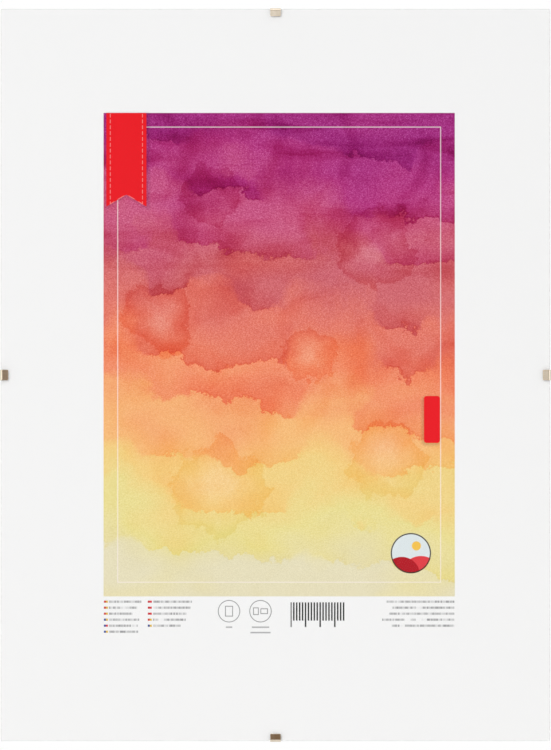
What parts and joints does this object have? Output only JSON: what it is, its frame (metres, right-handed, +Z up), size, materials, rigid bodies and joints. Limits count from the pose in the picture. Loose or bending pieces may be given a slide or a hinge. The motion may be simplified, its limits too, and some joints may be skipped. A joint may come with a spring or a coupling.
{
  "type": "clip frame",
  "caption": "Upright frameless clip frame: glass over a full-size printed sheet and a hardboard back, held at each edge by a sliding spring clip, with riveted keyhole hangers.",
  "frame": {"origin": "centre of the portrait hanger's keyhole, on the wall plane at the back of its bridge", "axes": "+X to the viewer's right, +Z up with the long side upright, +Y from the viewer into the wall; the glass faces -Y"},
  "size_m": [0.602, 0.0103, 0.802],
  "materials": {
    "clear_glass": "clear float glass with ground edges",
    "printed_paper": "matt coated paper",
    "hardboard": "raw pressed hardboard",
    "clip_steel": "nickel-plated spring steel",
    "hanger_steel": "zinc-plated pressed steel",
    "rivet_steel": "zinc-plated steel"
  },
  "bodies": {
    "panel": {"glass_pane": "clear_glass", "printed_insert": "printed_paper", "backing_board": "hardboard", "hanger_portrait": "hanger_steel", "hanger_landscape": "hanger_steel", "rivets_portrait": "rivet_steel", "rivets_landscape": "rivet_steel"},
    "top_clip": {"clip_top": "clip_steel"},
    "bottom_clip": {"clip_bottom": "clip_steel"},
    "left_clip": {"clip_left": "clip_steel"},
    "right_clip": {"clip_right": "clip_steel"}
  },
  "joints": [
    {"name": "top_clip_slide", "type": "slide", "parent": "panel", "child": "top_clip", "axis": [0, 0, 1], "range_m": [0, 0.01]},
    {"name": "bottom_clip_slide", "type": "slide", "parent": "panel", "child": "bottom_clip", "axis": [0, 0, -1], "range_m": [0, 0.01]},
    {"name": "left_clip_slide", "type": "slide", "parent": "panel", "child": "left_clip", "axis": [-1, 0, 0], "range_m": [0, 0.01]},
    {"name": "right_clip_slide", "type": "slide", "parent": "panel", "child": "right_clip", "axis": [1, 0, 0], "range_m": [0, 0.01]}
  ]
}
